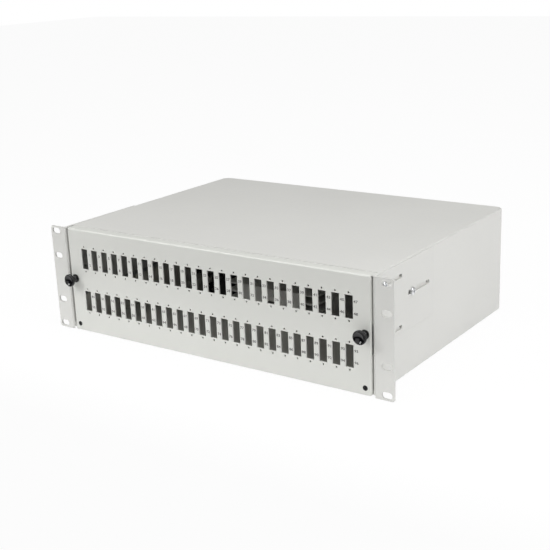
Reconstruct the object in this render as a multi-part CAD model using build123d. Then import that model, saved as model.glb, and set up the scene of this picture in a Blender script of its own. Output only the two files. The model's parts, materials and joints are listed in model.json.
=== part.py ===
from build123d import *
import math
import os

# Sliding drawer fibre patch panel, three rack units high, for a 19-inch rack.
# All sizes in millimetres. X runs across the front, Y runs from the front to
# the back, Z runs up. The parts are drawn with Z = 0 at the lower edge of the
# rack ears and Y = 0 at their front face. They are written with the origin at
# the centre of the rack-hole pattern on that face.

# Rack sizes
RACK_UNIT_HEIGHT = 44.45
RACK_UNITS = 3
PANEL_WIDTH = 482.6
RACK_HOLE_EDGE = 6.35
RACK_HOLE_STEP = 31.75
PANEL_PLAY = 1.35
EAR_HEIGHT = RACK_UNITS * RACK_UNIT_HEIGHT - PANEL_PLAY
OUTER_HOLE_Z = RACK_UNITS * RACK_UNIT_HEIGHT / 2 - RACK_HOLE_EDGE
INNER_HOLE_Z = OUTER_HOLE_Z - RACK_HOLE_STEP

# Rack ears
EAR_FLANGE = 23.3
EAR_HOLE_EDGE = 8.75
EAR_SHEET = 2.0
EAR_CORNER = 3.0
EAR_BEND = 1.9
EAR_SLOT_LENGTH = 12.5
EAR_SLOT_WIDTH = 7.5
FLANGE_BOTTOM = 53.5
FLANGE_DEPTH = 130.0
FLANGE_CORNER = 2.0
SIDE_SLOT_LENGTH = 50.0
SIDE_SLOT_WIDTH = 4.5
SIDE_SLOTS = ((31.5, 117.9, 17.5), (94.0, 94.6, 78.5), (31.5, 61.4, 17.5))
SPARE_HOLE_STEP = 38.0
SPARE_HOLE_R = 1.7

# Case
CASE_BOTTOM = 2.4
CASE_TOP = 132.4
CASE_FRONT = 1.2
CASE_BACK = 328.0
SHEET = 1.2
CASE_CORNER = 11.0
CASE_EDGE = 2.0
TOP_NOTCH_DEPTH = 11.2
TOP_NOTCH_EDGE = 2.8
COVER_GAP = 0.3
TOP_LIP = 5.0
RELIEF_R = 1.1
BASE_FRONT = 2.2
BASE_FLANGE = 4.8
BASE_REAR_FLANGE = 10.0

# Front panel
FRONT_SHIFT = 0.6
FRONT_GAP = 2.7
FRONT_SHEET = 1.5
FRONT_BOTTOM = 1.1
FRONT_TOP = 131.9
FRONT_BEND = 2.0
FRONT_CORNER = 2.5
RETURN_DEPTH = 10.0
RETURN_HIGH = 128.4
PLAIN_STRIP = 17.5
COLUMN_PITCH = 16.342
ROW_HEIGHTS = (41.2, 95.1)
WINDOW_WIDTH = 9.7
WINDOW_HEIGHT = 25.6
WINDOW_SCREW_OFFSET = 15.55
WINDOW_SCREW_R = 1.1

# Panel screws in the lower corners
PANEL_SCREW_EDGE = 7.9
PANEL_SCREW_Z = 8.9
PANEL_SCREW_HEAD_R = 3.0
PANEL_SCREW_R = 1.6
PANEL_SOCKET = 2.0
PANEL_SOCKET_DEPTH = 1.1
PANEL_NUT_R = 2.7
PANEL_NUT_DEPTH = 2.6
HOLE_CLEARANCE = 0.1

# Push latches
LATCH_EDGE = 7.5
LATCH_Z = 68.3
LATCH_HOLE_R = 4.1
KNOB_R = 7.8
KNOB_FRONT = -12.2
KNOB_RIM = 1.3
KNOB_DISH = 2.8
KNOB_THICK = 3.4
KNOB_ROUND = 0.9
KNOB_FLARE = 1.4
NECK_FLARE = 1.0
NECK_R = 3.3
STEM_R = 2.2
STEM_END = 13.0
STEM_TIP = 0.8
COLLAR_R = 2.9
COLLAR_LENGTH = 1.6
GROMMET_R = 5.2
GROMMET_FLANGE = 2.0
GROMMET_LENGTH = 12.0
GROMMET_BARREL_R = 4.0
GROMMET_SLIT = 0.9
GROMMET_CHAMFER = 0.8
LATCH_FIT = 0.06
LATCH_TRAVEL = 5.0
LATCH_STOP_GAP = 0.4

# Latch keepers
KEEPER_LOW = 47.3
KEEPER_HIGH = 77.4
KEEPER_FRONT = 7.0
KEEPER_DEPTH = 22.0
KEEPER_EDGE = 8.0
KEEPER_HOLE_R = 4.6
KEEPER_GAP = 1.7

# Drawer tray
TRAY_FLOOR = 5.4
TRAY_GAP = 0.1
TRAY_REAR_SPACE = 18.0
TRAY_SIDE_TOP = 46.0
TRAY_REAR_TOP = 26.0
TRAY_WING_EDGE = 2.7
TRAY_FRONT_TOP = 18.0
TRAY_EXIT_WIDTH = 70.0
TRAY_CORNER = 3.0

# Drawer runners
RUNNER_SPACE = 15.2
RUNNER_SHEET = 1.2
RUNNER_FRONT = 11.5
RUNNER_REAR_SPACE = 8.5
RUNNER_LOW = 9.4
RUNNER_HEIGHT = 35.6
RUNNER_STEP = 2.4
OUTER_FLANGE = 10.6
MIDDLE_WEB_GAP = 2.1
MIDDLE_FLANGE = 8.4
INNER_FLANGE = 8.6
GLIDE_LENGTH = 28.0
GLIDE_WIDTH = 5.0
GLIDE_CLEARANCE = 0.15
GLIDE_END = 4.0
RUNNER_SCREW_Y = (60.0, 250.0)
RUNNER_SCREW_R = 2.0
RUNNER_HEAD_R = 3.9
RUNNER_HEAD_THICK = 1.8
RUNNER_HEAD_ROUND = 1.1

# Splice cassettes
CASSETTES = 4
CASSETTE_WIDTH = 134.0
CASSETTE_LENGTH = 172.0
CASSETTE_FRONT = 126.0
CASSETTE_PITCH = 10.4
CASSETTE_PLATE = 2.0
CASSETTE_CORNER = 8.0
CASSETTE_WALL = 1.5
CASSETTE_OPEN_WIDTH = 17.0
CASSETTE_OPEN_DEPTH = 30.0
CASSETTE_NOTCH_WIDTH = 12.0
CASSETTE_NOTCH_HEIGHT = 4.0
CASSETTE_PORT_WIDTH = 14.0
CASSETTE_PORT_X = 24.0
DRUM_R = 22.0
DRUM_WALL = 1.4
DRUM_Y = (42.0, 130.0)
COMB_SLOTS = 12
COMB_PITCH = 4.4
COMB_RIB = 1.2
COMB_LENGTH = 14.0
COMB_HEIGHT = 5.6
COMB_BASE = 1.0
LID_THICK = 2.0
LID_TAB_WIDTH = 10.0
LID_TAB_REACH = 2.4
LID_TAB_DROP = 8.0
LID_TAB_ROUND = 1.0
STUD_R = 2.5
STUD_HOLE_R = 2.8
STUD_Y = (165.0, 259.0)
STUD_REACH = 5.0
THUMB_NUT_R = 6.5
THUMB_NUT_HEIGHT = 7.0
THUMB_RIBS = 12
THUMB_RIB_R = 1.0
THUMB_FOOT = 1.0

# Fibre spools and cable anchors on the tray
SPOOL_Y = 205.0
SPOOL_R = 30.0
SPOOL_WALL = 2.0
SPOOL_HEIGHT = 30.0
SPOOL_BASE = 2.0
SPOOL_TAB = 9.0
SPOOL_TAB_WIDTH = 14.0
SPOOL_WINDOW = 16.0
ANCHOR_REAR_SPACE = 28.0
ANCHOR_WIDTH = 64.0
ANCHOR_FOOT = 14.0
ANCHOR_HEIGHT = 14.0
ANCHOR_TEETH = 4
ANCHOR_TOOTH = 8.0
ANCHOR_HEAD = 11.0
ANCHOR_HEAD_HEIGHT = 3.0

# Rear cable entries
ENTRY_R = 12.6
ENTRY_Z = 34.0
GLAND_EDGE = 78.0
PLUG_STEP = 50.0
GLAND_BARREL_R = 12.4
GLAND_HEX = 31.0
GLAND_FLANGE = 6.0
GLAND_INSIDE = 9.0
GLAND_BORE_R = 9.2
GLAND_COLLAR_R = 11.4
GLAND_COLLAR = 8.0
DOME_HEX = 29.0
DOME_LENGTH = 16.0
DOME_BORE_R = 8.0
DOME_RIM_R = 11.0
DOME_ROUND = 6.0
SEAL_R = 9.1
SEAL_BORE_R = 5.0
LOCKNUT_THICK = 5.0
PLUG_HEAD_R = 15.0
PLUG_HEAD = 2.0
PLUG_DEPTH = 7.0
PLUG_WALL = 1.6
FIT_GAP = 0.1

# Earth stud on the back
EARTH_EDGE = 28.0
EARTH_Z = 22.0
EARTH_R = 3.0
EARTH_LENGTH = 16.0
EARTH_GROOVE = 0.6
EARTH_GROOVE_DEPTH = 0.3
EARTH_NUT = 10.0
EARTH_NUT_THICK = 5.0
EARTH_WASHER_R = 6.2
EARTH_WASHER = 1.6
EARTH_HEAD = 2.0

# Ear screws and nuts
EAR_SCREW_R = 2.0
EAR_HEAD_R = 4.1
EAR_HEAD_HEIGHT = 2.7
EAR_HEAD_ROUND = 1.6
EAR_SCREW_REACH = 1.0
CROSS_LENGTH = 4.2
CROSS_WIDTH = 0.9
CROSS_DEPTH = 1.3
EAR_NUT = 7.0
EAR_NUT_THICK = 3.0

# Sizes that follow from the ones above
PANEL_HALF = PANEL_WIDTH / 2
RACK_HOLE_X = PANEL_HALF - EAR_HOLE_EDGE
CASE_HALF = PANEL_HALF - EAR_FLANGE
CASE_INNER = CASE_HALF - SHEET
CASE_BACK_INNER = CASE_BACK - SHEET
TOP_NOTCH_HALF = CASE_HALF - TOP_NOTCH_EDGE
TOP_NOTCH_BACK = CASE_FRONT + TOP_NOTCH_DEPTH
FRONT_HALF = CASE_INNER - FRONT_GAP
FRONT_FLANGE = TOP_NOTCH_BACK - COVER_GAP
FRONT_RETURN_LOW = FRONT_BOTTOM + FRONT_CORNER
COLUMNS = int(2 * (FRONT_HALF - PLAIN_STRIP) / COLUMN_PITCH)
PANEL_SCREW_X = FRONT_HALF - PANEL_SCREW_EDGE
LATCH_X = FRONT_HALF - LATCH_EDGE
KEEPER_INNER_X = LATCH_X - KEEPER_EDGE
TRAY_FRONT = FRONT_SHEET + TRAY_GAP
TRAY_HALF = CASE_INNER - RUNNER_SPACE
TRAY_WING_HALF = FRONT_HALF - TRAY_WING_EDGE
TRAY_BACK = CASE_BACK - TRAY_REAR_SPACE
TRAY_TOP = TRAY_FLOOR + SHEET
BASE_TOP = CASE_BOTTOM + SHEET
RUNNER_BACK = TRAY_BACK - RUNNER_REAR_SPACE
COLLAR_BACK = STEM_END - STEM_TIP
COLLAR_FRONT = COLLAR_BACK - COLLAR_LENGTH
GROMMET_POCKET = COLLAR_FRONT - LATCH_TRAVEL - LATCH_STOP_GAP
RUNNER_HIGH = RUNNER_LOW + RUNNER_HEIGHT
STACK_TOP = TRAY_TOP + CASSETTES * CASSETTE_PITCH
CASSETTE_HALF = CASSETTE_WIDTH / 2
CASSETTE_BACK = CASSETTE_FRONT + CASSETTE_LENGTH
MIDDLE_Y = (CASSETTE_FRONT + CASSETTE_BACK) / 2
SPOOL_X = (CASSETTE_HALF + TRAY_HALF - SHEET) / 2
ANCHOR_Y = TRAY_BACK - ANCHOR_REAR_SPACE
GLAND_X = CASE_HALF - GLAND_EDGE
GLAND_BACK = CASE_BACK + GLAND_FLANGE + GLAND_COLLAR
PLUG_X = GLAND_X - PLUG_STEP
EARTH_X = EARTH_EDGE - CASE_HALF
EARTH_NUT_BACK = CASE_BACK + EARTH_WASHER + EARTH_NUT_THICK


def block(x0, x1, y0, y1, z0, z1):
    """A rectangular solid between two corners."""
    centre = Pos((x0 + x1) / 2, (y0 + y1) / 2, (z0 + z1) / 2)
    return centre * Box(abs(x1 - x0), abs(y1 - y0), abs(z1 - z0))


def rod_x(y, z, x0, x1, r):
    """A round rod along X."""
    return Pos((x0 + x1) / 2, y, z) * Rot(0, 90, 0) * Cylinder(r, abs(x1 - x0))


def rod_y(x, z, y0, y1, r):
    """A round rod along Y."""
    return Pos(x, (y0 + y1) / 2, z) * Rot(90, 0, 0) * Cylinder(r, abs(y1 - y0))


def rod_z(x, y, z0, z1, r):
    """A round rod along Z."""
    return Pos(x, y, (z0 + z1) / 2) * Cylinder(r, abs(z1 - z0))


def hex_y(x, z, y0, y1, flats):
    """A hexagonal bar along Y, with the given width across its flats."""
    profile = Plane.XZ * RegularPolygon(flats / 2, 6, major_radius=False)
    return Pos(x, y1, z) * extrude(profile, y1 - y0)


def slot_cutter_y(x, z, length, width, y0, y1):
    """A slot along X, cut through in Y."""
    profile = Plane.XZ * SlotOverall(length, width)
    return Pos(x, y1, z) * extrude(profile, y1 - y0)


def slot_cutter_x(y, z, length, width, x0, x1):
    """A slot along Y, cut through in X."""
    profile = Plane.YZ * SlotOverall(length, width)
    return Pos(x0, y, z) * extrude(profile, x1 - x0)


def turned_y(points):
    """A turned piece about the Y axis, from its half section in X and Y."""
    outline = Polyline(*points, close=True)
    return revolve(make_face(outline), Axis.Y)


def mirrored(solid):
    """The same piece on the other side of the panel."""
    return mirror(solid, about=Plane.YZ)


def both_sides(solid):
    """A piece and its mirror image, as one group."""
    return [solid, mirrored(solid)]


def case_plan(inset, front, back, corner):
    """The case outline seen from above, with its two rounded rear corners."""
    half = CASE_HALF - inset
    plan = Pos(0, (front + back) / 2) * Rectangle(2 * half, back - front)
    rear = plan.vertices().group_by(Axis.Y)[-1]
    return fillet(rear, corner)


def top_edges(solid):
    """The upper edges of a case-shaped solid, without its front edge."""
    upper = solid.edges().group_by(Axis.Z)[-1]
    return upper.sort_by(Axis.Y)[1:]


def case_shell():
    """The folded and welded hood: top, sides and back in one sheet."""
    height = CASE_TOP - CASE_BOTTOM
    outside = extrude(case_plan(0, CASE_FRONT, CASE_BACK, CASE_CORNER), height)
    outside = fillet(top_edges(outside), CASE_EDGE)
    inner_plan = case_plan(SHEET, CASE_FRONT - 1, CASE_BACK_INNER, CASE_CORNER - SHEET)
    inside = extrude(inner_plan, height - SHEET)
    inside = fillet(top_edges(inside), CASE_EDGE - SHEET)
    shell = Pos(0, 0, CASE_BOTTOM) * (outside - inside)
    notch_back = TOP_NOTCH_BACK
    notch_low = CASE_TOP - CASE_EDGE - 2 * SHEET
    shell -= block(-TOP_NOTCH_HALF, TOP_NOTCH_HALF, -1, notch_back, notch_low, CASE_TOP + 1)
    for side in (-1, 1):
        x = side * TOP_NOTCH_HALF
        shell -= rod_z(x, notch_back - RELIEF_R, CASE_TOP - CASE_EDGE, CASE_TOP + 1, RELIEF_R)
    lip_half = TOP_NOTCH_HALF - RELIEF_R
    lip_low = CASE_TOP - SHEET - TOP_LIP
    lip_back = notch_back + SHEET
    shell += block(-lip_half, lip_half, notch_back, lip_back, lip_low, CASE_TOP - SHEET / 2)
    front_edge = shell.edges().filter_by(Axis.X).group_by(Axis.Z)[-1].sort_by(Axis.Y)[0]
    shell = fillet(front_edge, SHEET / 2)
    for y, z, screw_y in SIDE_SLOTS:
        shell -= rod_x(screw_y, z, -CASE_HALF - 1, CASE_HALF + 1, EAR_SCREW_R + HOLE_CLEARANCE)
        shell -= rod_x(screw_y + SPARE_HOLE_STEP, z, -CASE_HALF - 1, CASE_HALF + 1, SPARE_HOLE_R)
    for x in (-GLAND_X, -PLUG_X, PLUG_X, GLAND_X):
        shell -= rod_y(x, ENTRY_Z, CASE_BACK - 2 * SHEET, CASE_BACK + 1, ENTRY_R)
    shell -= rod_y(EARTH_X, EARTH_Z, CASE_BACK - 2 * SHEET, CASE_BACK + 1, EARTH_R + HOLE_CLEARANCE)
    return shell


def base_plate():
    """The bottom sheet, with flanges that are spot-welded inside the hood."""
    plan = case_plan(SHEET, BASE_FRONT, CASE_BACK_INNER, CASE_CORNER - SHEET)
    plate = Pos(0, 0, CASE_BOTTOM) * extrude(plan, SHEET)
    side_back = CASE_BACK - CASE_CORNER - SHEET
    side_top = BASE_TOP + BASE_FLANGE
    side = block(CASE_INNER - SHEET, CASE_INNER, BASE_FRONT, side_back, BASE_TOP, side_top)
    rear_half = CASE_HALF - CASE_CORNER - SHEET
    rear_top = BASE_TOP + BASE_REAR_FLANGE
    rear = block(-rear_half, rear_half, CASE_BACK_INNER - SHEET, CASE_BACK_INNER, BASE_TOP, rear_top)
    return plate + side + mirrored(side) + rear


def ear():
    """The right rack ear: slotted front flange and slotted side flange."""
    front = block(CASE_HALF, PANEL_HALF, 0, EAR_SHEET, 0, EAR_HEIGHT)
    outer = front.edges().filter_by(Axis.Y).group_by(Axis.X)[-1]
    front = fillet(outer, EAR_CORNER)
    side = block(CASE_HALF, CASE_HALF + EAR_SHEET, 0, FLANGE_DEPTH, FLANGE_BOTTOM, EAR_HEIGHT)
    rear = side.edges().filter_by(Axis.X).group_by(Axis.Y)[-1]
    side = fillet(rear, FLANGE_CORNER)
    bracket = front + side
    bend = bracket.edges().filter_by(Axis.Z).group_by(Axis.Y)[0].sort_by(Axis.X)[0]
    bracket = fillet(bend, EAR_BEND)
    middle = EAR_HEIGHT / 2
    for offset in (-OUTER_HOLE_Z, -INNER_HOLE_Z, INNER_HOLE_Z, OUTER_HOLE_Z):
        z = middle + offset
        bracket -= slot_cutter_y(RACK_HOLE_X, z, EAR_SLOT_LENGTH, EAR_SLOT_WIDTH, -1, EAR_SHEET + 1)
    for y, z, screw_y in SIDE_SLOTS:
        outside = CASE_HALF + EAR_SHEET + 1
        bracket -= slot_cutter_x(y, z, SIDE_SLOT_LENGTH, SIDE_SLOT_WIDTH, CASE_HALF - 1, outside)
    return bracket


def ear_screw(y, z, inner_x):
    """A pan-head screw with a cross recess, from the outside inwards."""
    seat = CASE_HALF + EAR_SHEET
    head = Pos(seat + EAR_HEAD_HEIGHT / 2, y, z) * Rot(0, 90, 0) * Cylinder(EAR_HEAD_R, EAR_HEAD_HEIGHT)
    rim = head.edges().group_by(Axis.X)[-1]
    head = fillet(rim, EAR_HEAD_ROUND)
    top = seat + EAR_HEAD_HEIGHT
    for length, width in ((CROSS_LENGTH, CROSS_WIDTH), (CROSS_WIDTH, CROSS_LENGTH)):
        head -= Pos(top, y, z) * Box(2 * CROSS_DEPTH, length, width)
    return head + rod_x(y, z, inner_x, seat, EAR_SCREW_R)


def ear_nut(y, z, outer_x):
    """The hexagonal nut of an ear screw, inside the case."""
    profile = Plane.YZ * RegularPolygon(EAR_NUT / 2, 6, major_radius=False)
    nut = Pos(outer_x - EAR_NUT_THICK, y, z) * extrude(profile, EAR_NUT_THICK)
    return nut - rod_x(y, z, outer_x - EAR_NUT_THICK - 1, outer_x + 1, EAR_SCREW_R + HOLE_CLEARANCE)


def ear_fixings():
    """The ear screws and nuts of both sides. The lowest nut clamps the keeper."""
    screws = []
    nuts = []
    for y, z, screw_y in SIDE_SLOTS:
        through_keeper = KEEPER_LOW < z < KEEPER_HIGH
        nut_face = CASE_INNER - SHEET if through_keeper else CASE_INNER
        screw_end = nut_face - EAR_NUT_THICK - EAR_SCREW_REACH
        screws += both_sides(ear_screw(screw_y, z, screw_end))
        nuts += both_sides(ear_nut(screw_y, z, nut_face))
    return screws, nuts


def keeper(latch_x):
    """The right latch keeper: an angle inside the case with the latch hole."""
    back = KEEPER_FRONT + KEEPER_DEPTH
    face_back = KEEPER_FRONT + SHEET
    foot = block(CASE_INNER - SHEET, CASE_INNER, KEEPER_FRONT, back, KEEPER_LOW, KEEPER_HIGH)
    face = block(KEEPER_INNER_X, CASE_INNER, KEEPER_FRONT, face_back, KEEPER_LOW, KEEPER_HIGH)
    inner = face.edges().filter_by(Axis.Y).group_by(Axis.X)[0]
    plate = fillet(inner, 2 * SHEET) + foot
    y, z, screw_y = SIDE_SLOTS[2]
    plate -= rod_x(screw_y, z, CASE_INNER - 2 * SHEET, CASE_INNER + 1, EAR_SCREW_R + HOLE_CLEARANCE)
    return plate - rod_y(latch_x, LATCH_Z, KEEPER_FRONT - 1, KEEPER_FRONT + 2 * SHEET, KEEPER_HOLE_R)


def window_cutters():
    """The adapter windows with a screw hole above and below each."""
    cutters = []
    for row in ROW_HEIGHTS:
        for column in range(COLUMNS):
            x = FRONT_SHIFT + (column - (COLUMNS - 1) / 2) * COLUMN_PITCH
            half = WINDOW_WIDTH / 2
            tall = WINDOW_HEIGHT / 2
            cutters.append(block(x - half, x + half, -1, FRONT_SHEET + 1, row - tall, row + tall))
            for side in (-1, 1):
                z = row + side * WINDOW_SCREW_OFFSET
                cutters.append(rod_y(x, z, -1, FRONT_SHEET + 1, WINDOW_SCREW_R))
    return cutters


def bent_above(solid, radius):
    """A block with its front edges rounded, but for the lower one."""
    edges = solid.faces().sort_by(Axis.Y)[0].edges()
    return fillet(edges.sort_by(Axis.Z)[1:], radius)


def front_sheet():
    """The front face and its top flange, with the bends of all three folds."""
    inner_half = FRONT_HALF - FRONT_SHEET
    inner_top = FRONT_TOP - FRONT_SHEET
    outer = block(-FRONT_HALF, FRONT_HALF, 0, FRONT_FLANGE, FRONT_BOTTOM, FRONT_TOP)
    inner = block(-inner_half, inner_half, FRONT_SHEET, FRONT_FLANGE + 1, FRONT_BOTTOM - 1, inner_top)
    sheet = bent_above(outer, FRONT_BEND) - bent_above(inner, FRONT_BEND - FRONT_SHEET)
    side = block(inner_half, FRONT_HALF + 1, FRONT_BEND, FRONT_FLANGE + 1, FRONT_BOTTOM - 1, inner_top)
    edge = FRONT_HALF - FRONT_CORNER
    corner = block(edge, FRONT_HALF + 1, -1, RETURN_DEPTH, FRONT_BOTTOM - 1, FRONT_RETURN_LOW)
    corner -= rod_y(edge, FRONT_RETURN_LOW, -2, RETURN_DEPTH + 1, FRONT_CORNER)
    return sheet - both_sides(side) - both_sides(corner)


def side_return(z0, z1):
    """One folded-back piece of the front panel's right edge."""
    piece = block(FRONT_HALF - FRONT_SHEET, FRONT_HALF, FRONT_BEND, RETURN_DEPTH, z0, z1)
    corners = piece.edges().filter_by(Axis.X).group_by(Axis.Y)[-1]
    return fillet(corners, FRONT_SHEET)


def front_panel():
    """The drawer front with its windows, top flange and side returns."""
    panel = front_sheet()
    lower = side_return(FRONT_RETURN_LOW, KEEPER_LOW - KEEPER_GAP)
    upper = side_return(KEEPER_HIGH + KEEPER_GAP, RETURN_HIGH)
    for piece in (lower, upper):
        panel = panel + piece + mirrored(piece)
    panel = Pos(FRONT_SHIFT, 0, 0) * panel
    for side in (-1, 1):
        panel -= rod_y(FRONT_SHIFT + side * LATCH_X, LATCH_Z, -1, FRONT_SHEET + 1, LATCH_HOLE_R)
        panel -= screw_cone(side, HOLE_CLEARANCE)
    return panel - window_cutters()


def screw_cone(side, clearance):
    """The space of a countersunk panel screw, grown by a clearance."""
    head = PANEL_SCREW_HEAD_R + clearance
    neck = PANEL_SCREW_R + clearance
    depth = head - neck
    points = [(0, 0), (head, 0), (neck, depth), (neck, TRAY_FRONT + SHEET + PANEL_NUT_DEPTH)]
    points.append((0, TRAY_FRONT + SHEET + PANEL_NUT_DEPTH))
    return Pos(FRONT_SHIFT + side * PANEL_SCREW_X, 0, PANEL_SCREW_Z) * turned_y(points)


def panel_screws():
    """The two black countersunk screws with hexagon sockets."""
    screws = []
    for side in (-1, 1):
        x = FRONT_SHIFT + side * PANEL_SCREW_X
        socket = hex_y(x, PANEL_SCREW_Z, -1, PANEL_SOCKET_DEPTH, PANEL_SOCKET)
        screws.append(screw_cone(side, 0) - socket)
    return screws


def panel_nuts():
    """The clinch nuts behind the tray's front wings."""
    nuts = []
    back = TRAY_FRONT + SHEET
    for side in (-1, 1):
        x = FRONT_SHIFT + side * PANEL_SCREW_X
        nut = rod_y(x, PANEL_SCREW_Z, back, back + PANEL_NUT_DEPTH, PANEL_NUT_R)
        bore = rod_y(x, PANEL_SCREW_Z, back - 1, back + PANEL_NUT_DEPTH + 1, PANEL_SCREW_R + HOLE_CLEARANCE)
        nuts.append(nut - bore)
    return nuts


def grommet(side):
    """The latch grommet: flange, barrel through the panel and slit legs."""
    pocket_r = COLLAR_R + LATCH_FIT
    bore_r = STEM_R + LATCH_FIT
    points = [
        (bore_r, -GROMMET_FLANGE),
        (GROMMET_R - GROMMET_CHAMFER, -GROMMET_FLANGE),
        (GROMMET_R, -GROMMET_FLANGE + GROMMET_CHAMFER),
        (GROMMET_R, 0),
        (GROMMET_BARREL_R, 0),
        (GROMMET_BARREL_R, GROMMET_LENGTH - 2 * GROMMET_CHAMFER),
        (GROMMET_BARREL_R - GROMMET_CHAMFER / 2, GROMMET_LENGTH),
        (pocket_r, GROMMET_LENGTH),
        (pocket_r, GROMMET_POCKET),
        (bore_r, GROMMET_POCKET),
    ]
    body = turned_y(points)
    half = GROMMET_SLIT / 2
    for angle in (0, 90):
        slit = block(-GROMMET_R, GROMMET_R, GROMMET_POCKET, GROMMET_LENGTH + 1, -half, half)
        body -= Rot(0, angle, 0) * slit
    return Pos(FRONT_SHIFT + side * LATCH_X, 0, LATCH_Z) * body


def plunger(side):
    """The latch plunger: dished knob, waisted neck, stem and retaining collar."""
    front = KNOB_FRONT
    back = front + KNOB_THICK
    seat = -GROMMET_FLANGE - LATCH_STOP_GAP
    lip_r = KNOB_R - KNOB_RIM
    knob_neck_r = NECK_R + KNOB_FLARE
    stem_neck_r = NECK_R + NECK_FLARE
    dish_edge = front + KNOB_RIM / 4
    start = (0, front + KNOB_DISH)
    dish = TangentArc(start, (lip_r, dish_edge), tangent=(1, 0))
    rim = ThreePointArc((lip_r, dish_edge), (KNOB_R - KNOB_RIM / 2, front), (KNOB_R, front + KNOB_ROUND))
    skirt = Polyline(
        (KNOB_R, front + KNOB_ROUND), (KNOB_R, back - KNOB_ROUND), (KNOB_R - KNOB_ROUND, back),
        (knob_neck_r, back),
    )
    neck = Spline(
        (knob_neck_r, back), (NECK_R, (back + seat) / 2), (stem_neck_r, seat),
        tangents=((-1, 0.6), (1, 0.8)),
    )
    stem = Polyline(
        (stem_neck_r, seat), (STEM_R, seat), (STEM_R, COLLAR_FRONT), (COLLAR_R, COLLAR_FRONT + STEM_TIP / 2),
        (COLLAR_R, COLLAR_BACK), (STEM_R - STEM_TIP, STEM_END), (0, STEM_END), start,
    )
    body = revolve(make_face([dish, rim, skirt, neck, stem]), Axis.Y)
    return Pos(FRONT_SHIFT + side * LATCH_X, 0, LATCH_Z) * body


def tray():
    """The drawer tray: floor, side walls, rear wall, front lip and wings."""
    floor = block(-TRAY_HALF, TRAY_HALF, TRAY_FRONT, TRAY_BACK, TRAY_FLOOR, TRAY_TOP)
    side = block(TRAY_HALF - SHEET, TRAY_HALF, TRAY_FRONT, TRAY_BACK, TRAY_FLOOR, TRAY_SIDE_TOP)
    corner = side.edges().filter_by(Axis.X).group_by(Axis.Z)[-1].sort_by(Axis.Y)[-1]
    side = fillet(corner, TRAY_CORNER)
    rear = block(-TRAY_HALF, TRAY_HALF, TRAY_BACK - SHEET, TRAY_BACK, TRAY_FLOOR, TRAY_REAR_TOP)
    front_back = TRAY_FRONT + SHEET
    lip = block(-TRAY_HALF, TRAY_HALF, TRAY_FRONT, front_back, TRAY_FLOOR, TRAY_FRONT_TOP)
    wing = block(TRAY_HALF - SHEET, TRAY_WING_HALF, TRAY_FRONT, front_back, TRAY_FLOOR, TRAY_SIDE_TOP)
    body = floor + rear + lip
    for piece in (side, wing):
        body = body + piece + mirrored(piece)
    exit_half = TRAY_EXIT_WIDTH / 2
    for x in (-GLAND_X, GLAND_X):
        front = TRAY_BACK - 3 * SHEET
        body -= block(x - exit_half, x + exit_half, front, TRAY_BACK + 1, TRAY_TOP, TRAY_REAR_TOP + 1)
    for side_sign in (-1, 1):
        body -= rod_y(
            FRONT_SHIFT + side_sign * PANEL_SCREW_X, PANEL_SCREW_Z, TRAY_FRONT - 1, TRAY_FRONT + 2 * SHEET,
            PANEL_SCREW_R + HOLE_CLEARANCE,
        )
    screw_z = RUNNER_LOW + RUNNER_HEIGHT / 2
    for y in RUNNER_SCREW_Y:
        body -= rod_x(y, screw_z, -TRAY_HALF - 1, -TRAY_HALF + 2 * SHEET, RUNNER_SCREW_R + HOLE_CLEARANCE)
        body -= rod_x(y, screw_z, TRAY_HALF - 2 * SHEET, TRAY_HALF + 1, RUNNER_SCREW_R + HOLE_CLEARANCE)
    return body


def channel(web_outer, depth, low, high, opens_inward):
    """A runner channel on the right side, with its web at web_outer."""
    t = RUNNER_SHEET
    if opens_inward:
        web = block(web_outer - t, web_outer, RUNNER_FRONT, RUNNER_BACK, low, high)
        flanges = (web_outer - depth, web_outer)
    else:
        web = block(web_outer, web_outer + t, RUNNER_FRONT, RUNNER_BACK, low, high)
        flanges = (web_outer, web_outer + depth)
    lower = block(*flanges, RUNNER_FRONT, RUNNER_BACK, low, low + t)
    upper = block(*flanges, RUNNER_FRONT, RUNNER_BACK, high - t, high)
    return web + lower + upper


def runner_levels(stage):
    """The lower and upper face of the outer, middle or inner runner."""
    inset = stage * (RUNNER_SHEET + RUNNER_STEP)
    return RUNNER_LOW + inset, RUNNER_HIGH - inset


def runner_outer():
    """The runner fixed to the case."""
    low, high = runner_levels(0)
    return channel(CASE_INNER, OUTER_FLANGE, low, high, True)


def runner_middle():
    """The sliding middle runner."""
    low, high = runner_levels(1)
    return channel(CASE_INNER - RUNNER_SHEET - MIDDLE_WEB_GAP, MIDDLE_FLANGE, low, high, True)


def runner_inner():
    """The runner screwed to the tray."""
    low, high = runner_levels(2)
    rail = channel(TRAY_HALF, INNER_FLANGE, low, high, False)
    for y in RUNNER_SCREW_Y:
        hole_r = RUNNER_SCREW_R + HOLE_CLEARANCE
        rail -= rod_x(y, (low + high) / 2, TRAY_HALF - 1, TRAY_HALF + 2 * RUNNER_SHEET, hole_r)
    return rail


def glide_pair(x0, x1, y0, y1, low, high, carried_inside):
    """The two nylon glides between neighbouring runner flanges."""
    gap = GLIDE_CLEARANCE
    if carried_inside:
        lower = block(x0, x1, y0, y1, low + gap, low + RUNNER_STEP)
        upper = block(x0, x1, y0, y1, high - RUNNER_STEP, high - gap)
    else:
        lower = block(x0, x1, y0, y1, low, low + RUNNER_STEP - gap)
        upper = block(x0, x1, y0, y1, high - RUNNER_STEP + gap, high)
    return [lower, upper]


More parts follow.
